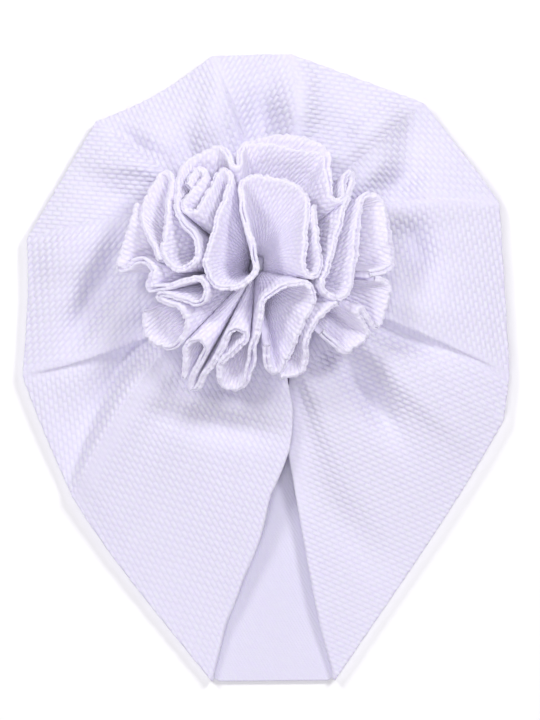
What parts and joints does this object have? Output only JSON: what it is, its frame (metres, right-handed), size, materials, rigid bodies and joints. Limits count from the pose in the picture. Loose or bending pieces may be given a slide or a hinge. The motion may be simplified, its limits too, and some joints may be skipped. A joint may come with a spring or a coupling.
{
  "type": "baby turban cap with a frilled flower",
  "caption": "Pre-wrapped baby turban in pale lilac bullet knit, pleated towards a frilled flower, with an open slot between two crossing front flaps.",
  "frame": {"origin": "under the middle of the turban's outline, on the surface that its back lies on", "axes": "+Z out of the front, through the flower; +Y towards the crown; +X to the right in the front view"},
  "size_m": [0.1749, 0.2255, 0.039],
  "materials": {
    "cap_knit": "matt bullet knit, pale lilac white",
    "frill_knit": "matt bullet knit, doubled, pale lilac white"
  },
  "bodies": {
    "root": {"turban_cap": "cap_knit", "frill_inner_upper": "frill_knit", "frill_inner_lower": "frill_knit", "frill_outer_upper": "frill_knit", "frill_outer_left": "frill_knit", "frill_outer_right": "frill_knit", "frill_skirt": "frill_knit"}
  },
  "joints": []
}
